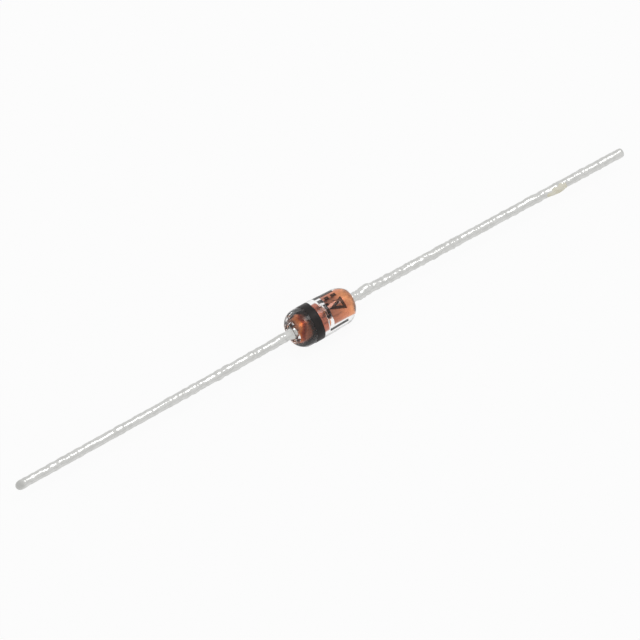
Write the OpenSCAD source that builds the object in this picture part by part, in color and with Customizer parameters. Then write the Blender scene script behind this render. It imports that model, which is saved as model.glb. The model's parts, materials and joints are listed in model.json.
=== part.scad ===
// Axial zener diode in a fused glass package.
// A glass sleeve grips two copper-clad slugs, the slugs press a silicon die between them,
// and a tinned wire lead is welded to the outer face of each slug. At the cathode end the tin
// ran into the mouth of the glass and left a collar round the lead.
// Frame: X runs along the leads from the cathode (-X) to the anode (+X), Z is up,
// and the origin is the middle of the glass. All sizes are in millimetres.

/* [Glass sleeve] */
// Outer diameter of the glass at the cathode end
cathode_glass_d = 2.14; // [1.9:0.02:2.3]
// Outer diameter of the glass at the anode end
anode_glass_d = 2.06; // [1.9:0.02:2.3]
// Length of the glass from end to end
glass_len = 3.85; // [3.4:0.05:4.4]
// Depth of the fire-polished shoulder round each end, towards the axis
shoulder_depth = 0.43; // [0.2:0.01:0.5]
// Length along X of the cathode end's shoulder
cathode_shoulder_len = 0.72; // [0.2:0.02:0.78]
// Length along X of the anode end's shoulder
anode_shoulder_len = 0.8; // [0.2:0.02:1]
// Radius of the lip where the bore opens at each end
lip_r = 0.07; // [0.02:0.01:0.12]
// How far the softened glass sagged inwards between the slugs
glass_sag = 0.05; // [0.02:0.01:0.08]

/* [Slugs] */
// Diameter of the slugs, and of the bore that is fused to them
slug_d = 1.06; // [0.84:0.01:1.1]
// Radius of the tumbled edges of the slugs
slug_edge_r = 0.05; // [0.02:0.01:0.1]
// Depth of the cathode slug's outer face inside the mouth of the glass
cathode_recess = 0.32; // [0.2:0.01:0.6]
// Depth of the anode slug's outer face inside the mouth of the glass
anode_recess = 0.04; // [0.01:0.01:0.4]

/* [Die] */
// Place of the cathode slug's inner face, where the die sits, from the middle of the glass
die_seat_x = 0.08; // [-0.3:0.01:0.3]
// Side of the square silicon die
die_w = 0.45; // [0.32:0.01:0.48]
// Thickness of the silicon die
die_t = 0.22; // [0.15:0.01:0.3]
// Diameter of the silver contact bump on the anode side of the die
bump_d = 0.28; // [0.2:0.01:0.32]
// Height of the contact bump
bump_h = 0.08; // [0.05:0.01:0.12]
// Radius of the contact bump's rim
bump_edge_r = 0.04; // [0.01:0.01:0.05]

/* [Leads] */
// Overall length from tip to tip
overall_len = 39; // [26:0.5:64]
// Diameter of the tinned wire
lead_d = 0.5; // [0.4:0.01:0.56]
// Diameter of the tin collar on the cathode lead, where it meets the slug
collar_d = 0.96; // [0.6:0.02:0.96]
// Length over which the collar thins out to the wire
collar_len = 0.6; // [0.3:0.05:1.2]
// Radius of the edge round each cropped tip
tip_r = 0.15; // [0.02:0.01:0.18]

/* [Cathode band] */
// Width of the printed band
band_w = 0.5; // [0.3:0.05:0.8]
// Distance from the cathode end of the glass to the band
band_from_end = 1; // [0.8:0.05:1.2]
// Thickness of the ink
band_t = 0.02; // [0.01:0.01:0.05]

/* [Hidden] */
$fn = 96;

cathode_glass_r = cathode_glass_d / 2;
anode_glass_r = anode_glass_d / 2;
glass_end = glass_len / 2;
slug_r = slug_d / 2;
lead_r = lead_d / 2;
bump_r = bump_d / 2;

// A shoulder and the lip share the wall of the glass, and a shoulder is never shorter than deep
glass_wall = min(cathode_glass_r, anode_glass_r) - slug_r;
shoulder = min(shoulder_depth, glass_wall - lip_r);
cathode_shoulder = max(cathode_shoulder_len, shoulder);
anode_shoulder = max(anode_shoulder_len, shoulder);

// Faces along X, from the cathode end to the anode end
cathode_face = -glass_end + cathode_recess;
bump_seat_x = die_seat_x + die_t;
anode_seat_x = bump_seat_x + bump_h;
anode_face = glass_end - anode_recess;
tip_x = overall_len / 2;

// The outside of the glass is straight under the band, and tapers from its middle to the anode's shoulder
band_x0 = -glass_end + band_from_end;
band_x1 = band_x0 + band_w;
taper_x0 = max(0, band_x1);
taper_x1 = glass_end - anode_shoulder;

// The collar keeps to the flat of the slug's face, and is hollowed by an arc that leaves the wire smoothly
collar_r = min(collar_d / 2, slug_r - slug_edge_r);
collar_h = collar_r - lead_r;
collar_arc_r = (collar_h * collar_h + collar_len * collar_len) / (2 * collar_h);

// The sag is an arc that springs from the edges of the two slugs
gap_half = (anode_seat_x - die_seat_x) / 2;
gap_mid_x = (anode_seat_x + die_seat_x) / 2;
sag_arc_r = (gap_half * gap_half + glass_sag * glass_sag) / (2 * glass_sag);

glass_tint = [0.86, 0.9, 0.88, 0.4];
slug_copper = [0.75, 0.44, 0.31];
die_grey = [0.42, 0.43, 0.47];
bump_silver = [0.86, 0.86, 0.84];
lead_tin = [0.8, 0.8, 0.79];
band_black = [0.19, 0.17, 0.18];

// Turns a half section, drawn as radius across and X upwards, into a solid about the X axis
module turned() {
  rotate([0, 90, 0])
    rotate_extrude()
      children();
}

// Part of a half section from radius r0 to r1 and from x0 to x1
module slab(r0, r1, x0, x1) {
  translate([r0, x0])
    square([r1 - r0, x1 - x0]);
}

// What an arc takes off a corner of a half section: side_r and side_x point into the material.
// The arc is as deep as depth, runs over length along X and leaves the wall smoothly.
module corner(r, x, depth, length, side_r, side_x) {
  arc_r = (depth * depth + length * length) / (2 * depth);
  difference() {
    translate([r + min(side_r, 0) * depth, x + min(side_x, 0) * length])
      square([depth, length]);
    translate([r + side_r * arc_r, x + side_x * length])
      circle(arc_r);
  }
}

// Half section of the outside of the glass, with its shoulders
module outer_section() {
  difference() {
    polygon([
      [0, -glass_end], [cathode_glass_r, -glass_end], [cathode_glass_r, taper_x0],
      [anode_glass_r, taper_x1], [anode_glass_r, glass_end], [0, glass_end]
    ]);
    corner(cathode_glass_r, -glass_end, shoulder, cathode_shoulder, -1, 1);
    corner(anode_glass_r, glass_end, shoulder, anode_shoulder, -1, -1);
  }
}

// Half section of the bore, drawn in by the sag over the die
module bore_section() {
  difference() {
    slab(0, slug_r, -glass_end, glass_end);
    translate([slug_r + sag_arc_r - glass_sag, gap_mid_x])
      circle(sag_arc_r);
  }
}

module glass_sleeve() {
  color(glass_tint)
    turned()
      difference() {
        outer_section();
        bore_section();
        corner(slug_r, -glass_end, lip_r, lip_r, 1, 1);
        corner(slug_r, glass_end, lip_r, lip_r, 1, -1);
      }
}

// Slug between two faces, with its edges tumbled round
module slug(x0, x1) {
  color(slug_copper)
    turned()
      difference() {
        slab(0, slug_r, x0, x1);
        corner(slug_r, x0, slug_edge_r, slug_edge_r, -1, 1);
        corner(slug_r, x1, slug_edge_r, slug_edge_r, -1, -1);
      }
}

module cathode_slug() {
  slug(cathode_face, die_seat_x);
}

module anode_slug() {
  slug(anode_seat_x, anode_face);
}

module zener_die() {
  color(die_grey)
    translate([die_seat_x, -die_w / 2, -die_w / 2])
      cube([die_t, die_w, die_w]);
}

module contact_bump() {
  color(bump_silver)
    turned()
      difference() {
        slab(0, bump_r, bump_seat_x, anode_seat_x);
        corner(bump_r, anode_seat_x, bump_edge_r, bump_edge_r, -1, -1);
      }
}

// Half section of a lead towards +X, from a slug's outer face to the cropped tip
module wire_section(face) {
  difference() {
    slab(0, lead_r, face, tip_x);
    corner(lead_r, tip_x, tip_r, tip_r, -1, -1);
  }
}

// Half section of the tin collar towards +X, from a slug's outer face
module collar_section(face) {
  difference() {
    slab(0, collar_r, face, face + collar_len);
    translate([lead_r + collar_arc_r, face + collar_len])
      circle(collar_arc_r);
  }
}

module cathode_lead() {
  color(lead_tin)
    mirror([1, 0, 0])
      turned() {
        wire_section(-cathode_face);
        collar_section(-cathode_face);
      }
}

module anode_lead() {
  color(lead_tin)
    turned()
      wire_section(anode_face);
}

module cathode_band() {
  color(band_black)
    turned()
      slab(cathode_glass_r, cathode_glass_r + band_t, band_x0, band_x1);
}

glass_sleeve();
cathode_slug();
anode_slug();
zener_die();
contact_bump();
cathode_lead();
anode_lead();
cathode_band();
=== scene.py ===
"""Looks of an axial glass zener diode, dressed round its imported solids.

X runs along the leads from the cathode to the anode, and Z is up. The pieces are small, so
their meshes are shaped in millimetres and scaled to metres when they join the scene.
"""

import json
import logging
import math
from abc import ABC, abstractmethod
from dataclasses import dataclass, field, replace
from enum import Enum
from typing import Callable, Iterable, Sequence

import bmesh
import bpy
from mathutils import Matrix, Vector, noise

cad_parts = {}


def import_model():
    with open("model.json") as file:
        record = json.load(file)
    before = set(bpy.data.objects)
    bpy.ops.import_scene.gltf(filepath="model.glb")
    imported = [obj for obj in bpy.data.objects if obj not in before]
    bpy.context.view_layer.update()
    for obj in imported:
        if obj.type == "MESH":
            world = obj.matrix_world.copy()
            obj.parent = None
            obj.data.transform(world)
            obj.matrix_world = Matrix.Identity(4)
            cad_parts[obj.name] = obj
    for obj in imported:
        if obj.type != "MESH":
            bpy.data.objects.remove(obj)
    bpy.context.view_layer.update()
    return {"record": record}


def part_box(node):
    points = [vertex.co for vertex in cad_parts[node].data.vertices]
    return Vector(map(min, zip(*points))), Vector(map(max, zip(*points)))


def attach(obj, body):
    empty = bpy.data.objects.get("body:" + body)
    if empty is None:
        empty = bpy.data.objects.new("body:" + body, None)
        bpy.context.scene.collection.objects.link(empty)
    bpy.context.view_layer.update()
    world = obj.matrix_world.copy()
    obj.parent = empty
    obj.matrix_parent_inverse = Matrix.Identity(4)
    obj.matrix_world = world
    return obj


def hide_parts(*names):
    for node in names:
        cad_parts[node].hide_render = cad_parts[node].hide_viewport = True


LOG = logging.getLogger("zener_diode")
MM = 0.001
TINY = 1e-5
BODY = "root"
SHARP_ANGLE = math.radians(35)
CROPPED = "cropped"
MOTTLE = "Mottle"
MOTTLE_INPUTS = ("Patches per mm", "Along X", "Detail", "Low", "High")

Pair = tuple[float, float]
Colour = tuple[float, float, float]
Section = list[Pair]
Socket = bpy.types.NodeSocket


class Slot(Enum):
    """Material slots of the part's record."""

    CLEAR_GLASS = "clear_glass"
    SLUG_COPPER = "slug_copper"
    DIE_SILICON = "die_silicon"
    BUMP_SILVER = "bump_silver"
    LEAD_TIN = "lead_tin"
    BAND_INK = "band_ink"


class End(Enum):
    """Ends of the diode, as signs along X."""

    CATHODE = -1
    ANODE = 1

    def node(self, piece: str) -> str:
        """Name of the CAD node of this end's lead or slug."""
        return f"{self.name.lower()}_{piece}"


@dataclass(frozen=True)
class Span:
    """Where a turned solid lies: its ends along X and its radius, in millimetres."""

    start: float
    end: float
    radius: float

    @classmethod
    def of(cls, node: str) -> "Span":
        """Reads a node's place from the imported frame.

        Args:
            node: name of a CAD node that is turned about the X axis.

        Returns:
            The node's span.
        """
        low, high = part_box(node)
        return cls(low.x / MM, high.x / MM, max(high.y, high.z) / MM)

    def half_section(self) -> Section:
        """Corners of a plain bar's half section, from the axis at its start to that at its end."""
        start, end, radius = self.start, self.end, self.radius
        return [(start, 0.0), (start, radius), (end, radius), (end, 0.0)]


def around(angle: float) -> Vector:
    """Unit vector square to X, at an angle from straight up towards -Y."""
    return Vector((0.0, -math.sin(angle), math.cos(angle)))


def off_axis(point: Vector) -> Vector:
    """Part of a place that is square to X."""
    return Vector((0.0, point.y, point.z))


def ease(t: float) -> float:
    """Eases from 0 to 1, flat at both ends."""
    t = min(1.0, max(0.0, t))
    return t * t * (3.0 - 2.0 * t)


def bell(distance: float, width: float) -> float:
    """Bell curve of height 1, for a swelling."""
    return math.exp(-((distance / width) ** 2))


def arc(centre: Pair, radius: float, turn: Pair, steps: int) -> Section:
    """Lays points along an arc of a half section.

    Args:
        centre: (x, radius) of the arc's centre.
        radius: the arc's own radius.
        turn: its first and last angle, from straight out towards +X.
        steps: steps from the one to the other.

    Returns:
        (x, radius) of each point.
    """
    first, last = turn
    angles = [first + (last - first) * i / steps for i in range(steps + 1)]
    x, out = centre
    return [(x + radius * math.sin(a), out + radius * math.cos(a)) for a in angles]


class NodeDesk:
    """Shorthand for laying out a node tree."""

    def __init__(self, tree: bpy.types.NodeTree) -> None:
        """Takes the tree to work on.

        Args:
            tree: a material's, world's or group's node tree.
        """
        self.tree = tree

    def add(self, kind: str, **settings: object) -> bpy.types.Node:
        """Adds a node.

        Args:
            kind: the node's type name.
            settings: values for its properties.

        Returns:
            The node.
        """
        node = self.tree.nodes.new(kind)
        for key, value in settings.items():
            setattr(node, key, value)
        return node

    def link(self, source: Socket, target: Socket) -> None:
        """Links an output to an input."""
        self.tree.links.new(source, target)

    def blend(self, mask: Socket, first: Colour | Socket, second: Colour) -> Socket:
        """Blends two colours by a mask.

        Args:
            mask: 0 gives the first colour and 1 the second.
            first: linear colour, or an output that gives one.
            second: linear colour.

        Returns:
            The blended colour.
        """
        node = self.add("ShaderNodeMix", data_type="RGBA")
        if isinstance(first, Socket):
            self.link(first, node.inputs["A"])
        else:
            node.inputs["A"].default_value = (*first, 1.0)
        node.inputs["B"].default_value = (*second, 1.0)
        self.link(mask, node.inputs["Factor"])
        return node.outputs[2]

    def spread(self, value: Socket, given: Pair, wanted: Pair) -> Socket:
        """Maps one range of values to another.

        Args:
            value: the value.
            given: its range.
            wanted: the range to map it to.

        Returns:
            The mapped value.
        """
        node = self.add("ShaderNodeMapRange")
        names = ("From Min", "From Max", "To Min", "To Max")
        for name, limit in zip(names, (*given, *wanted)):
            node.inputs[name].default_value = limit
        self.link(value, node.inputs["Value"])
        return node.outputs["Result"]

    def calculate(self, kind: str, first: Socket, second: Socket) -> Socket:
        """Works out one value from two.

        Args:
            kind: name of the calculation.
            first: its first value.
            second: its second value.

        Returns:
            The result.
        """
        node = self.add("ShaderNodeMath", operation=kind)
        self.link(first, node.inputs[0])
        self.link(second, node.inputs[1])
        return node.outputs["Value"]

    def show_either(self, mask: Socket, first: Socket, second: Socket) -> Socket:
        """Mixes two shaders by a mask.

        Args:
            mask: 0 gives the first shader and 1 the second.
            first: output of the first shader.
            second: output of the second shader.

        Returns:
            The mixed shader.
        """
        node = self.add("ShaderNodeMixShader")
        for source, target in zip((mask, first, second), node.inputs):
            self.link(source, target)
        return node.outputs["Shader"]

    def bump(self, height: Socket, depth: float, shader: bpy.types.Node) -> None:
        """Gives a shader relief.

        Args:
            height: the relief, from 0 to 1.
            depth: what 1 stands for, in millimetres.
            shader: the shader.
        """
        node = self.add("ShaderNodeBump")
        node.inputs["Distance"].default_value = depth * MM
        self.link(height, node.inputs["Height"])
        self.link(node.outputs["Normal"], shader.inputs["Normal"])


def start_material(name: str) -> tuple[bpy.types.Material, NodeDesk, bpy.types.Node]:
    """Makes a material of nodes.

    Args:
        name: its name.

    Returns:
        The material, its tree and its shader.
    """
    material = bpy.data.materials.new(name)
    material.use_nodes = True
    tree = material.node_tree
    return material, NodeDesk(tree), tree.nodes["Principled BSDF"]


def mottle_group() -> bpy.types.NodeTree:
    """Gives the node group that all finishes share: patches that may be stretched along X.

    Returns:
        The group, which is made when it is first asked for.
    """
    if MOTTLE in bpy.data.node_groups:
        return bpy.data.node_groups[MOTTLE]
    tree = bpy.data.node_groups.new(MOTTLE, "ShaderNodeTree")
    for name in MOTTLE_INPUTS:
        tree.interface.new_socket(name, in_out="INPUT", socket_type="NodeSocketFloat")
    tree.interface.new_socket("Mask", in_out="OUTPUT", socket_type="NodeSocketFloat")
    desk = NodeDesk(tree)
    given = desk.add("NodeGroupInput")
    where = desk.add("ShaderNodeTexCoord")
    stretch = desk.add("ShaderNodeCombineXYZ")
    stretch.inputs["Y"].default_value = 1.0
    stretch.inputs["Z"].default_value = 1.0
    stretched = desk.add("ShaderNodeVectorMath", operation="MULTIPLY")
    per_metre = desk.add("ShaderNodeMath", operation="DIVIDE")
    per_metre.inputs[1].default_value = MM
    cloud = desk.add("ShaderNodeTexNoise")
    contrast = desk.add("ShaderNodeMapRange", interpolation_type="SMOOTHSTEP")
    out = desk.add("NodeGroupOutput")
    desk.link(given.outputs["Along X"], stretch.inputs["X"])
    desk.link(where.outputs["Object"], stretched.inputs[0])
    desk.link(stretch.outputs["Vector"], stretched.inputs[1])
    desk.link(given.outputs["Patches per mm"], per_metre.inputs[0])
    desk.link(stretched.outputs["Vector"], cloud.inputs["Vector"])
    desk.link(per_metre.outputs["Value"], cloud.inputs["Scale"])
    desk.link(given.outputs["Detail"], cloud.inputs["Detail"])
    desk.link(cloud.outputs["Fac"], contrast.inputs["Value"])
    desk.link(given.outputs["Low"], contrast.inputs["From Min"])
    desk.link(given.outputs["High"], contrast.inputs["From Max"])
    desk.link(contrast.outputs["Result"], out.inputs["Mask"])
    return tree


@dataclass(frozen=True)
class Mottle:
    """How a surface changes in patches: their size, their stretch along X and their contrast."""

    per_mm: float
    along_x: float = 1.0
    low: float = 0.38
    high: float = 0.62
    detail: float = 3.0

    def mask(self, desk: NodeDesk) -> Socket:
        """Places the shared group with these values.

        Args:
            desk: the material's tree.

        Returns:
            The mask, from 0 to 1.
        """
        node = desk.add("ShaderNodeGroup", node_tree=mottle_group())
        values = (self.per_mm, self.along_x, self.detail, self.low, self.high)
        for name, value in zip(MOTTLE_INPUTS, values):
            node.inputs[name].default_value = value
        return node.outputs["Mask"]


@dataclass(frozen=True, kw_only=True)
class Finish(ABC):
    """A finish with fine relief, from which one material is made."""

    name: str
    relief: Mottle
    depth: float

    @abstractmethod
    def dress(self, desk: NodeDesk, shader: bpy.types.Node) -> None:
        """Gives the shader its colour and gloss.

        Args:
            desk: the material's tree.
            shader: the material's shader.
        """

    def material(self) -> bpy.types.Material:
        """Gives the material of the finish.

        Returns:
            The material, which is made when it is first asked for.
        """
        if self.name in bpy.data.materials:
            return bpy.data.materials[self.name]
        material, desk, shader = start_material(self.name)
        self.dress(desk, shader)
        desk.bump(self.relief.mask(desk), self.depth, shader)
        return material


@dataclass(frozen=True, kw_only=True)
class GlassFinish(Finish):
    """Clear fused glass, whose relief is the faint ripple of flame work."""

    colour: Colour
    ior: float

    def dress(self, desk: NodeDesk, shader: bpy.types.Node) -> None:
        """Makes the shader clear and smooth.

        Args:
            desk: the material's tree.
            shader: the material's shader.
        """
        shader.inputs["Base Color"].default_value = (*self.colour, 1.0)
        shader.inputs["Roughness"].default_value = 0.0
        shader.inputs["IOR"].default_value = self.ior
        shader.inputs["Transmission Weight"].default_value = 1.0


@dataclass(frozen=True, kw_only=True)
class PatchedFinish(Finish):
    """A surface whose colour and gloss vary in patches."""

    roughness: Pair
    patches: Mottle
    metallic: float = 0.0
    specular: float = 0.5
    alpha: float = 1.0

    @abstractmethod
    def tint(self, desk: NodeDesk, patches: Socket) -> Socket:
        """Colour of the surface.

        Args:
            desk: the material's tree.
            patches: mask of the patches.

        Returns:
            The colour.
        """

    def dress(self, desk: NodeDesk, shader: bpy.types.Node) -> None:
        """Gives the shader its colour and gloss in patches.

        Args:
            desk: the material's tree.
            shader: the material's shader.
        """
        shader.inputs["Metallic"].default_value = self.metallic
        shader.inputs["Specular IOR Level"].default_value = self.specular
        shader.inputs["Alpha"].default_value = self.alpha
        patches = self.patches.mask(desk)
        desk.link(self.tint(desk, patches), shader.inputs["Base Color"])
        gloss = desk.spread(patches, (0.0, 1.0), self.roughness)
        desk.link(gloss, shader.inputs["Roughness"])


@dataclass(frozen=True, kw_only=True)
class TwoTone(PatchedFinish):
    """A surface of one colour with patches of another."""

    colour: Colour
    patch_colour: Colour

    def tint(self, desk: NodeDesk, patches: Socket) -> Socket:
        """Blends the two colours by the mask of the patches."""
        return desk.blend(patches, self.colour, self.patch_colour)


@dataclass(frozen=True, kw_only=True)
class TintAndLightRings(PatchedFinish):
    """Copper coloured in rings, which lean, and waver with the oxide: partly heat tint from the
    seal, partly painted highlights and painted shade.
    """

    rings: tuple[tuple[float, Colour], ...]
    waver: float = 0.12
    lean: float = 0.0
    lean_angle: float = math.radians(119)

    def tint(self, desk: NodeDesk, patches: Socket) -> Socket:
        """Colour of the rings.

        Args:
            desk: the material's tree.
            patches: mask of the patches.

        Returns:
            The colour.
        """
        where = desk.add("ShaderNodeTexCoord")
        along = desk.add("ShaderNodeVectorMath", operation="DOT_PRODUCT")
        along.inputs[1].default_value = Vector((1, 0, 0)) + around(self.lean_angle) * self.lean
        desk.link(where.outputs["Object"], along.inputs[0])
        first = self.rings[0][0]
        last = self.rings[-1][0]
        place = desk.spread(along.outputs["Value"], (first * MM, last * MM), (0.0, 1.0))
        share = self.waver / (last - first)
        drift = desk.spread(patches, (0.0, 1.0), (-share, share))
        ramp = desk.add("ShaderNodeValToRGB")
        stops = ramp.color_ramp.elements
        for _ in self.rings[2:]:
            stops.new(0.5)
        for stop, (x, colour) in zip(stops, self.rings):
            stop.position = (x - first) / (last - first)
            stop.color = (*colour, 1.0)
        desk.link(desk.calculate("ADD", place, drift), ramp.inputs["Fac"])
        return ramp.outputs["Color"]


@dataclass(frozen=True, kw_only=True)
class CroppedTin(TwoTone):
    """Tin on a wire, with the bare core where the wire was cropped."""

    core: Colour = (0.63, 0.63, 0.61)

    def tint(self, desk: NodeDesk, patches: Socket) -> Socket:
        """Blends the tin's colour with the core's where the mesh is marked as cropped."""
        cropped = desk.add("ShaderNodeAttribute", attribute_name=CROPPED)
        return desk.blend(cropped.outputs["Fac"], super().tint(desk, patches), self.core)


DRAWN_LINES = Mottle(25.0, along_x=0.04, low=0.2, high=0.8)
GLASS = GlassFinish(
    name="fused_glass", colour=(0.98, 0.985, 0.98), ior=1.52,
    relief=Mottle(1.5, low=0.0, high=1.0, detail=1.0), depth=0.002,
)
# Cathode rings: darker overall than the anode's, with the dark rings by -1.2 and -0.9 partly
# painted shade from the band; the orange rings by -1.45 are partly a painted highlight and the
# lighter ring by -1.1 partly a painted reflection; the rest is oxide tint.
CATHODE_COPPER = TintAndLightRings(
    name="cathode_slug_copper", roughness=(0.25, 0.36), patches=Mottle(1.8, along_x=1.6),
    relief=DRAWN_LINES, depth=0.0015, metallic=1.0, waver=0.05, lean=0.3,
    rings=(
        (-1.605, (0.2, 0.07, 0.035)),
        (-1.54, (0.42, 0.155, 0.075)),
        (-1.46, (0.48, 0.14, 0.045)),
        (-1.4, (0.5, 0.13, 0.03)),
        (-1.33, (0.26, 0.035, 0.01)),
        (-1.22, (0.15, 0.022, 0.008)),
        (-1.12, (0.27, 0.085, 0.045)),
        (-1.0, (0.21, 0.07, 0.04)),
        (-0.88, (0.12, 0.04, 0.02)),
        (-0.5, (0.25, 0.08, 0.045)),
        (-0.4, (0.5, 0.145, 0.09)),
        (0.08, (0.52, 0.16, 0.1)),
    ),
)
# Anode rings: the bright ring by 1.55 is partly a painted highlight for the glint at the anode
# shoulder; the rest is oxide tint.
ANODE_COPPER = TintAndLightRings(
    name="anode_slug_copper", roughness=(0.26, 0.38), patches=Mottle(1.8, along_x=1.6),
    relief=DRAWN_LINES, depth=0.0015, metallic=1.0,
    rings=(
        (0.38, (0.46, 0.16, 0.095)),
        (0.9, (0.6, 0.21, 0.115)),
        (1.3, (0.76, 0.27, 0.13)),
        (1.55, (0.95, 0.38, 0.16)),
        (1.88, (0.6, 0.19, 0.06)),
    ),
)
TIN = CroppedTin(
    name="hot_dipped_tin", colour=(0.8, 0.8, 0.78), patch_colour=(0.74, 0.74, 0.72),
    roughness=(0.15, 0.24), patches=Mottle(3.0),
    relief=Mottle(7.0, along_x=0.7, low=0.2, high=0.8), depth=0.008, metallic=1.0,
)
BLACK_INK = TwoTone(
    name="black_marking_ink", colour=(0.014, 0.011, 0.011), patch_colour=(0.02, 0.015, 0.014),
    roughness=(0.3, 0.42), patches=Mottle(6.0), relief=Mottle(14.0), depth=0.002, specular=0.3,
)
THIN_INK = replace(
    BLACK_INK, name="thin_marking_ink", patch_colour=(0.03, 0.022, 0.02), alpha=0.65
)
SILICON = TwoTone(
    name="sawn_silicon", colour=(0.3, 0.31, 0.34), patch_colour=(0.22, 0.23, 0.26),
    roughness=(0.25, 0.45), patches=Mottle(12.0), relief=Mottle(20.0), depth=0.002, metallic=0.8,
)
SILVER = TwoTone(
    name="plated_silver", colour=(0.86, 0.85, 0.82), patch_colour=(0.74, 0.72, 0.68),
    roughness=(0.25, 0.4), patches=Mottle(15.0), relief=Mottle(20.0), depth=0.002, metallic=1.0,
)
TAPE_GLUE = TwoTone(
    name="dried_tape_glue", colour=(0.95, 0.92, 0.79), patch_colour=(0.88, 0.84, 0.67),
    roughness=(0.5, 0.7), patches=Mottle(3.0), relief=Mottle(6.0), depth=0.01,
)


def add_to_scene(name: str, data: bpy.types.ID) -> bpy.types.Object:
    """Makes an object and links it to the scene.

    Args:
        name: its name.
        data: its mesh, light or camera.

    Returns:
        The object.
    """
    made = bpy.data.objects.new(name, data)
    bpy.context.scene.collection.objects.link(made)
    return made


class Workpiece:
    """A mesh in the making, in millimetres, which becomes one piece of the scene."""

    def __init__(self, name: str) -> None:
        """Starts an empty mesh.

        Args:
            name: name of the piece.
        """
        self.name = name
        self.bm = bmesh.new()

    def section(self, corners: Sequence[Pair]) -> list[bmesh.types.BMVert]:
        """Draws a half section as one face, with X along the axis and the radius across.

        Args:
            corners: (x, radius) of each corner in turn.

        Returns:
            The corners' vertices, in the same order.
        """
        verts = [self.bm.verts.new((x, radius, 0.0)) for x, radius in corners]
        self.bm.faces.new(verts)
        return verts

    def round_off(
        self, where: list[bmesh.types.BMVert] | list[bmesh.types.BMEdge], radius: float, steps: int
    ) -> None:
        """Rounds corners of a half section, or edges of a block, with arcs.

        Args:
            where: vertices of the section, or edges of the block.
            radius: radius of an arc at a square corner.
            steps: steps in each arc.
        """
        affect = "EDGES" if isinstance(where[0], bmesh.types.BMEdge) else "VERTICES"
        bmesh.ops.bevel(
            self.bm, geom=where, offset=radius, offset_type="OFFSET", affect=affect,
            segments=steps, profile=0.5, material=-1,
        )

    def divide_long_edges(self, longest: float) -> None:
        """Divides each edge of a half section that lies off the axis and is longer than a limit.

        Args:
            longest: length that no divided edge passes.
        """
        for edge in list(self.bm.edges):
            if max(v.co.y for v in edge.verts) > TINY and edge.calc_length() > longest:
                cuts = math.ceil(edge.calc_length() / longest) - 1
                bmesh.ops.subdivide_edges(self.bm, edges=[edge], cuts=cuts)

    def turn(self, steps: int) -> None:
        """Spins the half section a full turn about X and closes the seam and the poles.

        Args:
            steps: steps in the turn.
        """
        bm = self.bm
        bmesh.ops.delete(bm, geom=bm.faces[:], context="FACES_ONLY")
        on_axis = [e for e in bm.edges if max(abs(v.co.y) for v in e.verts) < TINY]
        bmesh.ops.delete(bm, geom=on_axis, context="EDGES_FACES")
        bmesh.ops.spin(
            bm, geom=bm.verts[:] + bm.edges[:], cent=(0, 0, 0), axis=(1, 0, 0), dvec=(0, 0, 0),
            angle=math.tau, steps=steps, use_merge=True, use_normal_flip=False, use_duplicate=False,
        )
        self.close()

    def close(self) -> None:
        """Merges doubled vertices and turns the faces outwards."""
        bmesh.ops.remove_doubles(self.bm, verts=self.bm.verts[:], dist=TINY)
        bmesh.ops.recalc_face_normals(self.bm, faces=self.bm.faces[:])

    def move(self, shift: Vector) -> None:
        """Moves the whole mesh."""
        bmesh.ops.translate(self.bm, vec=shift, verts=self.bm.verts[:])

    def shape(self, place: Callable[[Vector], Vector]) -> None:
        """Moves every vertex.

        Args:
            place: gives a vertex's new place from its old one.
        """
        for vert in self.bm.verts:
            vert.co = place(vert.co.copy())

    def finish(
        self, look: Finish, slot: Slot | None = None, replaces: str | None = None
    ) -> bpy.types.Object:
        """Puts the mesh into the scene as a piece that rides on the part.

        Args:
            look: the piece's finish.
            slot: the record's slot that the finish stands for, if it has one. It is not used.
            replaces: CAD node that the piece stands for, if there is one.

        Returns:
            The piece.
        """
        bmesh.ops.scale(self.bm, vec=(MM, MM, MM), verts=self.bm.verts[:])
        mesh = bpy.data.meshes.new(self.name)
        self.bm.to_mesh(mesh)
        self.bm.free()
        mesh.shade_smooth()
        mesh.set_sharp_from_angle(angle=SHARP_ANGLE)
        mesh.materials.append(look.material())
        piece = add_to_scene(self.name, mesh)
        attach(piece, BODY)
        if replaces is not None:
            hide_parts(replaces)
        return piece


class Assembly(ABC):
    """A sub-assembly of the diode, which shapes and dresses its own pieces."""

    @abstractmethod
    def build(self) -> list[bpy.types.Object]:
        """Builds the pieces.

        Returns:
            The finished pieces.
        """


@dataclass(frozen=True)
class GlassWall:
    """Outside of the glass between its shoulders: straight, then tapered towards the anode."""

    radius: float
    anode_radius: float
    taper: Pair

    def radius_at(self, x: float) -> float:
        """Gives the radius of the wall.

        Args:
            x: place along the axis.

        Returns:
            The radius there.
        """
        start, end = self.taper
        share = min(1.0, max(0.0, (x - start) / (end - start)))
        return self.radius + (self.anode_radius - self.radius) * share


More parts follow.
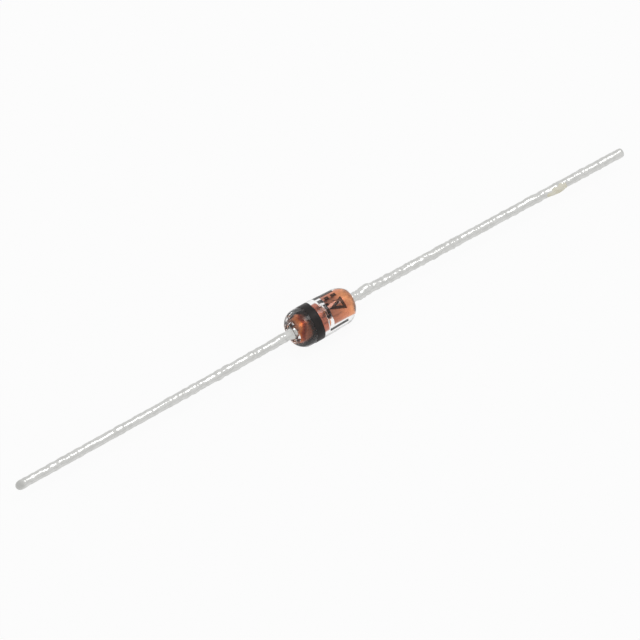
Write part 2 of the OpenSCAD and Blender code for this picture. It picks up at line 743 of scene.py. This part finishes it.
@dataclass
class GlassSleeve(Assembly):
    """The fused glass sleeve, with fire-polished shoulders, open mouths and the die's chamber."""

    span: Span
    wall: GlassWall
    cathode: Span
    anode: Span
    anode_shift: Vector
    shoulder: float = 0.43
    cathode_shoulder_len: float = 0.72
    lip: float = 0.07
    lip_steps: int = 8
    sag: float = 0.05
    sink: float = 0.004
    uneven: float = 0.03
    uneven_per_mm: float = 3.5
    uneven_x: Pair = (-0.95, -1.4)
    arc_steps: int = 20
    steps: int = 128

    @property
    def bore(self) -> float:
        """Radius of the bore, sunk a hair into the slugs because fused glass has no gap there."""
        return self.cathode.radius - self.sink

    def shoulder_arc(self, end: End) -> Section:
        """Fire-polished shoulder at one end of the glass.

        Args:
            end: the end.

        Returns:
            (x, radius) of each point, towards +X.
        """
        if end is End.CATHODE:
            length = self.cathode_shoulder_len
            top = self.span.start + length
        else:
            top = self.wall.taper[1]
            length = self.span.end - top
        radius = (self.shoulder**2 + length**2) / (2 * self.shoulder)
        sweep = math.asin(length / radius)
        turn = (-sweep, 0.0) if end is End.CATHODE else (0.0, sweep)
        return arc((top, self.wall.radius_at(top) - radius), radius, turn, self.arc_steps)

    def sag_arc(self) -> Section:
        """Glass that sagged between the slugs.

        Returns:
            (x, radius) of each point, from the anode slug to the cathode slug.
        """
        half = (self.anode.start - self.cathode.end) / 2
        radius = (half**2 + self.sag**2) / (2 * self.sag)
        sweep = math.asin(half / radius)
        centre = (self.cathode.end + half, self.bore + radius - self.sag)
        return arc(centre, radius, (math.pi - sweep, math.pi + sweep), self.arc_steps)

    def settle(self, point: Vector) -> Vector:
        """Gives the plain sleeve what the flame did to it.

        Args:
            point: place on the plain sleeve.

        Returns:
            The place on the real one: the anode half of the bore follows its slug, which sits a
            little off the axis, and the outside of the cathode end is uneven.
        """
        out = off_axis(point)
        depth = ease((out.length - self.bore) / (self.wall.anode_radius - self.bore))
        share = ease((point.x - self.cathode.end) / (self.anode.start - self.cathode.end))
        near, far = self.uneven_x
        worked = ease((point.x - near) / (far - near)) * depth
        lump = self.uneven * worked * noise.noise(point * self.uneven_per_mm)
        return point + self.anode_shift * share * (1.0 - depth) + out.normalized() * lump

    def build(self) -> list[bpy.types.Object]:
        """Turns the sleeve from its half section.

        Returns:
            The sleeve.
        """
        work = Workpiece("glass_sleeve_fused")
        taper_start = (self.wall.taper[0], self.wall.radius)
        outside = [*self.shoulder_arc(End.CATHODE), taper_start, *self.shoulder_arc(End.ANODE)]
        mouths = [(self.span.start, self.bore), (self.span.end, self.bore)]
        verts = work.section([mouths[0], *outside, mouths[1], *self.sag_arc()])
        work.round_off([verts[0], verts[len(outside) + 1]], self.lip, self.lip_steps)
        work.turn(self.steps)
        work.shape(self.settle)
        return [work.finish(GLASS, Slot.CLEAR_GLASS, "glass_sleeve")]


@dataclass
class Slug(Assembly):
    """A copper-clad slug with tumbled edges."""

    end: End
    span: Span
    copper: TintAndLightRings
    shift: Vector = field(default_factory=Vector)
    edge: float = 0.05
    edge_steps: int = 6
    steps: int = 96

    def build(self) -> list[bpy.types.Object]:
        """Turns the slug.

        Returns:
            The slug.
        """
        node = self.end.node("slug")
        work = Workpiece(f"{node}_turned")
        verts = work.section(self.span.half_section())
        work.round_off(verts[1:3], self.edge, self.edge_steps)
        work.turn(self.steps)
        work.move(self.shift)
        return [work.finish(self.copper, Slot.SLUG_COPPER, node)]


@dataclass
class DieStack(Assembly):
    """The silicon die and the silver bump that the slugs press together."""

    die: Span
    bump: Span
    saw_edge: float = 0.008
    saw_edge_steps: int = 2
    street: float = 0.03
    step: float = 0.006
    bump_edge: float = 0.04
    bump_edge_steps: int = 8
    bump_steps: int = 48

    def saw_die(self) -> Workpiece:
        """Makes the die: a sawn square with its saw street stepped down round the active face.

        Returns:
            The die in the making.
        """
        work = Workpiece("zener_die_sawn")
        thickness = self.die.end - self.die.start
        bmesh.ops.create_cube(work.bm, size=1.0)
        size = Vector((thickness, 2 * self.die.radius, 2 * self.die.radius))
        bmesh.ops.scale(work.bm, vec=size, verts=work.bm.verts[:])
        work.move(Vector((self.die.start + thickness / 2, 0.0, 0.0)))
        active = max(work.bm.faces, key=lambda face: face.calc_center_median().x)
        bmesh.ops.inset_region(work.bm, faces=[active], thickness=self.street, depth=0.0)
        front = [v for v in work.bm.verts if v.co.x > self.die.end - TINY]
        rim = [v for v in front if v not in active.verts[:]]
        bmesh.ops.translate(work.bm, vec=(-self.step, 0.0, 0.0), verts=rim)
        sawn = [e for e in work.bm.edges if e.calc_length() > thickness / 2]
        work.round_off(sawn, self.saw_edge, self.saw_edge_steps)
        work.close()
        return work

    def turn_bump(self) -> Workpiece:
        """Turns the flattened silver bump.

        Returns:
            The bump in the making.
        """
        work = Workpiece("contact_bump_plated")
        verts = work.section(self.bump.half_section())
        work.round_off([verts[2]], self.bump_edge, self.bump_edge_steps)
        work.turn(self.bump_steps)
        return work

    def build(self) -> list[bpy.types.Object]:
        """Makes the die and its bump.

        Returns:
            The die and the bump.
        """
        return [
            self.saw_die().finish(SILICON, Slot.DIE_SILICON, "zener_die"),
            self.turn_bump().finish(SILVER, Slot.BUMP_SILVER, "contact_bump"),
        ]


@dataclass(frozen=True)
class WireForm:
    """What is particular to one lead: its sway, tin, root, blob and crop."""

    sway: tuple[float, float, float]
    lumps_per_mm: float
    blob: float
    blob_at: float
    root: float
    root_len: float
    crop_slope: float = 0.0


@dataclass
class Lead(Assembly):
    """A tinned wire lead, with hot-dip lumps, a blob near the glass, a sway and a bare crop."""

    end: End
    span: Span
    form: WireForm
    wire_radius: float
    front_angle: float
    lump: float = 0.09
    lump_level: float = 0.15
    lump_stretch: float = 0.5
    fine_share: float = 0.4
    fine_ratio: float = 2.3
    root_share: float = 0.25
    calm_share: float = 0.35
    calm_len: float = 12.0
    blob_len: float = 0.3
    tip_round: float = 0.15
    tip_steps: int = 6
    crop_len: float = 0.9
    ring_step: float = 0.05
    steps: int = 48

    @property
    def face(self) -> float:
        """Distance of the slug's face from the middle of the glass."""
        return min(abs(self.span.start), abs(self.span.end))

    @property
    def tip(self) -> float:
        """Distance of the tip from the middle of the glass."""
        return max(abs(self.span.start), abs(self.span.end))

    @property
    def sideways(self) -> Vector:
        """Direction in which the wire sways: square to X and to the photograph's view."""
        return around(self.front_angle + math.pi / 2)

    def lumps(self, point: Vector, per_mm: float) -> float:
        """Smooth lumps with creases between them, as molten tin draws up on a wire.

        Args:
            point: place on the plain wire.
            per_mm: lumps per millimetre along the wire.

        Returns:
            The height, about 0 on average.
        """
        across = off_axis(point) * self.lump_stretch
        along = Vector((point.x, 0.0, 0.0))
        return abs(noise.noise((along + across) * per_mm)) - self.lump_level

    def growth(self, point: Vector) -> float:
        """How far the real surface stands out of the plain wire.

        Args:
            point: place on the plain wire.

        Returns:
            The lumps of the tin, the hollowed collar at the root and the blob near the glass.
        """
        form = self.form
        along = abs(point.x) - self.face
        free = ease(self.root_share + along / form.root_len)
        calm = 1.0 - self.calm_share * ease(along / self.calm_len)
        broad = self.lumps(point, form.lumps_per_mm)
        fine = self.lumps(point, form.lumps_per_mm * self.fine_ratio)
        tin = self.lump * calm * (broad + self.fine_share * fine)
        upward = max(0.0, -off_axis(point).dot(self.sideways) / self.wire_radius)
        blob = form.blob * upward * bell(abs(point.x) - form.blob_at, self.blob_len)
        collar = form.root * max(0.0, 1.0 - along / form.root_len) ** 2
        return tin * free + collar + blob

    def sway_at(self, share: float) -> float:
        """Sideways place of the wire at a share of its length.

        Args:
            share: 0 at the slug and 1 at the tip.

        Returns:
            The place, on a curve through the three given ones.
        """
        root, middle, tip = self.form.sway
        from_root = root * (1 - share) * (1 - 2 * share)
        return from_root + middle * 4 * share * (1 - share) + tip * share * (2 * share - 1)

    def crop(self, point: Vector) -> float:
        """How far the slanted crop sets a point of the tip back along the wire.

        Args:
            point: place on the plain wire.

        Returns:
            The distance.
        """
        near_tip = ease(1.0 - (self.tip - abs(point.x)) / self.crop_len)
        across = off_axis(point).dot(around(self.front_angle)) + self.wire_radius
        return self.form.crop_slope * across * near_tip

    def mark_crop(self, work: Workpiece) -> None:
        """Marks the cropped face of the plain wire, where its core is bare.

        Args:
            work: the lead in the making.
        """
        cropped = work.bm.verts.layers.float.new(CROPPED)
        for vert in work.bm.verts:
            vert[cropped] = ease(1.0 - (self.tip - abs(vert.co.x)) / self.tip_round)

    def place(self, point: Vector) -> Vector:
        """Moves a point of the straight wire to its real place.

        Args:
            point: place on the plain wire.

        Returns:
            The place on the lead.
        """
        radial = off_axis(point) * (1.0 + self.growth(point) / self.wire_radius)
        share = (abs(point.x) - self.face) / (self.tip - self.face)
        along = Vector((point.x - self.end.value * self.crop(point), 0.0, 0.0))
        return along + radial + self.sway_at(share) * self.sideways

    def build(self) -> list[bpy.types.Object]:
        """Turns the wire and gives it its lumps, crop and sway.

        Returns:
            The lead.
        """
        node = self.end.node("lead")
        work = Workpiece(f"{node}_tinned")
        verts = work.section(Span(self.face, self.tip, self.wire_radius).half_section())
        work.round_off([verts[2]], self.tip_round, self.tip_steps)
        work.divide_long_edges(self.ring_step)
        work.turn(self.steps)
        bmesh.ops.scale(work.bm, vec=(self.end.value, 1.0, 1.0), verts=work.bm.verts[:])
        self.mark_crop(work)
        work.shape(self.place)
        work.close()
        return [work.finish(TIN, Slot.LEAD_TIN, node)]


@dataclass
class CathodeBand(Assembly):
    """The black ring printed round the glass at the cathode end, a little askew as print is."""

    span: Span
    glass_radius: float
    front_angle: float
    sink: float = 0.003
    ink: float = 0.014
    edge: float = 0.006
    edge_steps: int = 4
    ragged: float = 0.02
    ragged_per_mm: float = 2.2
    skew: float = 0.05
    lap: float = 0.04
    steps: int = 160

    def askew(self, point: Vector) -> Vector:
        """Shifts a point of the ring along X by the skew, the unevenness and the lap of the print.

        Args:
            point: place on the plain ring.

        Returns:
            The place on the printed ring, which laps towards the cathode at the back.
        """
        facing = off_axis(point).dot(around(self.front_angle)) / self.glass_radius
        shift = self.skew * facing + self.ragged * noise.noise(point * self.ragged_per_mm)
        if point.x < (self.span.start + self.span.end) / 2:
            shift -= self.lap * ease(-facing)
        return point + Vector((shift, 0.0, 0.0))

    def build(self) -> list[bpy.types.Object]:
        """Turns the ring and sets it askew.

        Returns:
            The band.
        """
        work = Workpiece("cathode_band_ink")
        inner = self.glass_radius - self.sink
        outer = self.glass_radius + self.ink
        start, end = self.span.start, self.span.end
        verts = work.section([(start, inner), (start, outer), (end, outer), (end, inner)])
        work.round_off(verts[1:3], self.edge, self.edge_steps)
        work.turn(self.steps)
        work.shape(self.askew)
        return [work.finish(BLACK_INK, Slot.BAND_INK, "cathode_band")]


@dataclass
class PrintedMarks(Assembly):
    """Plain ink marks on the anode half: a zener sign that points to the band, and bars."""

    wall: GlassWall
    middle_angle: float
    sign_x: Pair = (0.12, 1.24)
    sign_height: float = 0.8
    stroke: float = 0.17
    wing: float = 0.14
    dashes: tuple[Pair, ...] = ((0.0, 0.29), (0.42, 0.68), (0.82, 1.12))
    dash_side: Pair = (-0.81, -0.56)
    upper_bar: Pair = (-0.015, 1.136)
    upper_bar_side: Pair = (-1.3, -1.0)
    lower_bar: Pair = (-0.065, 1.106)
    lower_bar_side: Pair = (1.04, 1.215)
    ink: float = 0.012
    sink: float = 0.003
    bend_step: float = 0.06

    def bar(self, work: Workpiece, x: Pair, side: Pair) -> None:
        """Lays a flat bar of ink.

        Args:
            work: the marks in the making.
            x: its ends along the axis.
            side: its sides round the glass, as lengths of arc.
        """
        made = bmesh.ops.create_grid(work.bm, x_segments=1, y_segments=1, size=0.5)["verts"]
        bmesh.ops.scale(work.bm, vec=(x[1] - x[0], side[1] - side[0], 1.0), verts=made)
        middle = ((x[0] + x[1]) / 2, (side[0] + side[1]) / 2, 0.0)
        bmesh.ops.translate(work.bm, vec=middle, verts=made)

    def arrow(self, work: Workpiece, x: Pair) -> None:
        """Lays the outlined triangle of the sign, with its tip towards the cathode.

        Args:
            work: the marks in the making.
            x: place of its tip and of its base along the axis.
        """
        made = bmesh.ops.create_circle(work.bm, cap_ends=True, segments=3, radius=1.0)["verts"]
        tip = max(made, key=lambda v: v.co.y)
        for vert in made:
            side = math.copysign(self.sign_height / 2, vert.co.x)
            vert.co = (x[0], 0.0, 0.0) if vert is tip else (x[1], side, 0.0)
        face = tip.link_faces[0]
        bmesh.ops.inset_region(
            work.bm, faces=[face], thickness=self.stroke, depth=0.0, use_boundary=True,
            use_even_offset=True,
        )
        bmesh.ops.delete(work.bm, geom=[face], context="FACES")

    def lay_out(self, work: Workpiece) -> None:
        """Lays all the marks flat, with the sign's middle line on X.

        Args:
            work: the marks in the making.
        """
        half = self.sign_height / 2
        start, end = self.sign_x
        bar_end = start + self.stroke
        self.bar(work, (start, bar_end), (-half, half))
        self.bar(work, (start - self.wing, start), (half - self.stroke, half))
        self.bar(work, (bar_end, bar_end + self.wing), (-half, self.stroke - half))
        self.arrow(work, (bar_end, end))
        for dash in self.dashes:
            self.bar(work, dash, self.dash_side)
        self.bar(work, self.upper_bar, self.upper_bar_side)
        self.bar(work, self.lower_bar, self.lower_bar_side)

    def wrap(self, point: Vector) -> Vector:
        """Bends a point of the flat print round the glass.

        Args:
            point: place on the flat print.

        Returns:
            The place on the glass.
        """
        out = around(self.middle_angle + point.y / self.wall.radius)
        height = self.wall.radius_at(point.x) - self.sink + point.z
        return Vector((point.x, 0.0, 0.0)) + out * height

    def build(self) -> list[bpy.types.Object]:
        """Prints the marks.

        Returns:
            The marks.
        """
        work = Workpiece("printed_marks")
        self.lay_out(work)
        lowest = min(v.co.y for v in work.bm.verts)
        highest = max(v.co.y for v in work.bm.verts)
        for i in range(1, math.ceil((highest - lowest) / self.bend_step)):
            geometry = work.bm.verts[:] + work.bm.edges[:] + work.bm.faces[:]
            level = (0.0, lowest + i * self.bend_step, 0.0)
            bmesh.ops.bisect_plane(work.bm, geom=geometry, plane_co=level, plane_no=(0, 1, 0))
        bmesh.ops.recalc_face_normals(work.bm, faces=work.bm.faces[:])
        bmesh.ops.solidify(work.bm, geom=work.bm.faces[:], thickness=self.ink + self.sink)
        work.move(Vector((0.0, 0.0, -min(v.co.z for v in work.bm.verts))))
        work.shape(self.wrap)
        work.close()
        return [work.finish(THIN_INK, Slot.BAND_INK)]


@dataclass
class TapeGlue(Assembly):
    """A smear of dried tape glue that clings to the anode lead."""

    centre: Vector
    out: Vector
    length: float = 1.7
    radius: float = 0.26
    proud: float = 0.06
    ragged: float = 0.14
    grains: Pair = (1.7, 4.1)
    fine_share: float = 0.5
    subdivisions: int = 5

    def place(self, point: Vector) -> Vector:
        """Places a point of the unit ball on the smear.

        Args:
            point: place on the ball.

        Returns:
            The place on the smear.
        """
        coarse, fine = (noise.noise(point * per_radius) for per_radius in self.grains)
        grain = 1.0 + self.ragged * (coarse + self.fine_share * fine)
        ball = Vector((point.x * self.length / 2, point.y * self.radius, point.z * self.radius))
        return self.centre + ball * grain + self.out * self.proud

    def build(self) -> list[bpy.types.Object]:
        """Shapes the smear from a ball that stands out of one side of the wire.

        Returns:
            The smear.
        """
        work = Workpiece("tape_glue_smear")
        bmesh.ops.create_icosphere(work.bm, subdivisions=self.subdivisions, radius=1.0)
        work.shape(self.place)
        work.close()
        return [work.finish(TAPE_GLUE)]


@dataclass
class Diode:
    """The whole diode: where its assemblies lie and what is particular to this one."""

    front_angle: float
    wire_radius: float
    anode_glass_radius: float = 1.03
    anode_shoulder_len: float = 0.8
    taper_start: float = 0.0
    anode_off_centre: float = -0.08
    cathode_wire: WireForm = WireForm(
        sway=(0.03, 0.07, 0.07), lumps_per_mm=1.9, blob=0.05, blob_at=2.6, root=0.23,
        root_len=0.7, crop_slope=0.8,
    )
    anode_wire: WireForm = WireForm(
        sway=(-0.08, 0.0, 0.09), lumps_per_mm=3.6, blob=0.09, blob_at=2.95, root=0.0,
        root_len=0.7,
    )
    marks_angle: float = math.radians(-6.7)
    glue_x: float = 15.16
    glue_sway: float = 0.06
    glue_angle: float = math.radians(52)

    def assemblies(self) -> list[Assembly]:
        """Lists the assemblies in the order in which they are built.

        Returns:
            The sleeve, what it holds, the leads, the print and the glue.
        """
        front = self.front_angle
        wire = self.wire_radius
        sideways = around(front + math.pi / 2)
        shift = sideways * self.anode_off_centre
        glass = Span.of("glass_sleeve")
        cathode = Span.of("cathode_slug")
        anode = Span.of("anode_slug")
        taper = (self.taper_start, glass.end - self.anode_shoulder_len)
        wall = GlassWall(glass.radius, self.anode_glass_radius, taper)
        glue = Vector((self.glue_x, 0.0, 0.0)) + sideways * self.glue_sway
        leads = [
            Lead(end, Span.of(end.node("lead")), form, wire, front)
            for end, form in ((End.CATHODE, self.cathode_wire), (End.ANODE, self.anode_wire))
        ]
        return [
            GlassSleeve(glass, wall, cathode, anode, shift),
            Slug(End.CATHODE, cathode, CATHODE_COPPER),
            Slug(End.ANODE, anode, ANODE_COPPER, shift),
            DieStack(Span.of("zener_die"), Span.of("contact_bump")),
            *leads,
            CathodeBand(Span.of("cathode_band"), glass.radius, front),
            PrintedMarks(wall, front + self.marks_angle),
            TapeGlue(glue, around(front + self.glue_angle)),
        ]


@dataclass
class Studio:
    """The pale floor, the soft light and the camera of the photograph."""

    floor_z: float
    azimuth: float = -33.7
    elevation: float = 56.2
    distance: float = 800.0
    frame_px: float = 640.0
    px_per_mm: float = 18.7
    middle_px: Pair = (320.56, 317.14)
    sensor: float = 36.0
    clip: Pair = (10.0, 10000.0)
    softbox_size: Pair = (110.0, 120.0)
    softbox_place: tuple[float, float, float] = (100.0, 10.0, 300.0)
    softbox_radiance: float = 2.4
    world_light: float = 0.6
    horizon: float = 0.88
    bright_above: float = 0.8
    floor_side: float = 3000.0
    floor_grey: float = 0.9
    floor_white: float = 0.93
    floor_mirrored: float = 0.5

    def back(self) -> Vector:
        """Direction from the object to the camera."""
        a, e = math.radians(self.azimuth), math.radians(self.elevation)
        return Vector((math.sin(a) * math.cos(e), -math.cos(a) * math.cos(e), math.sin(e)))

    def front_angle(self) -> float:
        """Angle round X, from straight up towards -Y, of the body's line nearest the camera."""
        back = self.back()
        return math.atan2(-back.y, back.z)

    def build(self) -> None:
        """Makes the floor, the lights and the camera, and sets plain colours."""
        bpy.context.scene.view_settings.view_transform = "Standard"
        self.build_camera()
        self.build_floor()
        self.build_softbox()
        self.build_world()

    def build_camera(self) -> None:
        """Places the camera so that the middle of the glass falls where the photograph has it."""
        data = bpy.data.cameras.new("camera")
        data.sensor_width = self.sensor
        data.lens = self.sensor * self.distance * self.px_per_mm / self.frame_px
        data.clip_start, data.clip_end = (limit * MM for limit in self.clip)
        camera = add_to_scene("camera", data)
        back = self.back()
        turn = (-back).to_track_quat("-Z", "Y")
        right = turn @ Vector((1.0, 0.0, 0.0))
        up = turn @ Vector((0.0, 1.0, 0.0))
        off_x = (self.middle_px[0] - self.frame_px / 2) / self.px_per_mm
        off_y = (self.frame_px / 2 - self.middle_px[1]) / self.px_per_mm
        camera.location = (back * self.distance - right * off_x - up * off_y) * MM
        camera.rotation_mode = "QUATERNION"
        camera.rotation_quaternion = turn
        bpy.context.scene.camera = camera

    def build_floor(self) -> None:
        """Lays the pale floor under the part."""
        bm = bmesh.new()
        bmesh.ops.create_grid(bm, x_segments=1, y_segments=1, size=self.floor_side / 2 * MM)
        bmesh.ops.translate(bm, vec=(0.0, 0.0, self.floor_z * MM), verts=bm.verts[:])
        mesh = bpy.data.meshes.new("floor")
        bm.to_mesh(mesh)
        bm.free()
        floor = add_to_scene("floor", mesh)
        mesh.materials.append(self.floor_material())

    def floor_material(self) -> bpy.types.Material:
        """Makes a floor that is white to the camera, dimmer when mirrored, and still shaded.

        Returns:
            The floor's material.
        """
        material, desk, shader = start_material("pale_floor")
        grey = self.floor_grey
        shader.inputs["Base Color"].default_value = (grey, grey, grey, 1.0)
        shader.inputs["Roughness"].default_value = 1.0
        shader.inputs["Specular IOR Level"].default_value = 0.0
        white = desk.add("ShaderNodeEmission")
        rays = desk.add("ShaderNodeLightPath").outputs
        mirrored = desk.calculate("SUBTRACT", rays["Is Glossy Ray"], rays["Is Transmission Ray"])
        level = desk.spread(mirrored, (0.0, 1.0), (self.floor_white, self.floor_mirrored))
        share = desk.calculate("MULTIPLY", self.seen(desk), level)
        mixed = desk.show_either(share, shader.outputs["BSDF"], white.outputs["Emission"])
        desk.link(mixed, material.node_tree.nodes["Material Output"].inputs["Surface"])
        return material

    @staticmethod
    def seen(desk: NodeDesk) -> Socket:
        """Mask of the rays that show a surface to the eye: straight, mirrored or through glass.

        Args:
            desk: tree to work in.

        Returns:
            The mask.
        """
        rays = desk.add("ShaderNodeLightPath").outputs
        mask = rays["Is Camera Ray"]
        for name in ("Is Glossy Ray", "Is Transmission Ray"):
            mask = desk.calculate("MAXIMUM", mask, rays[name])
        return mask

    def build_softbox(self) -> None:
        """Hangs a soft light above the part, towards its anode end."""
        width, length = (side * MM for side in self.softbox_size)
        data = bpy.data.lights.new("softbox", "AREA")
        data.shape = "RECTANGLE"
        data.size = width
        data.size_y = length
        data.energy = self.softbox_radiance * math.pi * width * length
        softbox = add_to_scene("softbox", data)
        softbox.location = Vector(self.softbox_place) * MM

    def build_world(self) -> None:
        """Surrounds the part with white that falls off towards the horizon."""
        world = bpy.data.worlds.new("studio")
        world.use_nodes = True
        bpy.context.scene.world = world
        desk = NodeDesk(world.node_tree)
        light = world.node_tree.nodes["Background"]
        light.inputs["Color"].default_value = (1.0, 1.0, 1.0, 1.0)
        light.inputs["Strength"].default_value = self.world_light
        where = desk.add("ShaderNodeTexCoord")
        parts = desk.add("ShaderNodeSeparateXYZ")
        desk.link(where.outputs["Generated"], parts.inputs["Vector"])
        heights = (0.0, self.bright_above)
        level = desk.spread(parts.outputs["Z"], heights, (self.horizon, 1.0))
        backdrop = desk.add("ShaderNodeBackground")
        desk.link(level, backdrop.inputs["Strength"])
        shaders = (light.outputs["Background"], backdrop.outputs["Background"])
        mixed = desk.show_either(self.seen(desk), *shaders)
        desk.link(mixed, world.node_tree.nodes["World Output"].inputs["Surface"])


def main() -> None:
    """Loads the solids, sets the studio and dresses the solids."""
    logging.basicConfig(level=logging.INFO, format="%(name)s: %(message)s")
    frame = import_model()
    pins = {mount["name"]: mount["dims"] for mount in frame["record"]["mounts"]}
    wire_radius = pins["cathode_lead"]["r_mm"]

    studio = Studio(floor_z=-Span.of("cathode_band").radius)
    studio.build()
    for assembly in Diode(studio.front_angle(), wire_radius).assemblies():
        for piece in assembly.build():
            LOG.info("%s: %d faces", piece.name, len(piece.data.polygons))


if __name__ == "__main__":
    main()
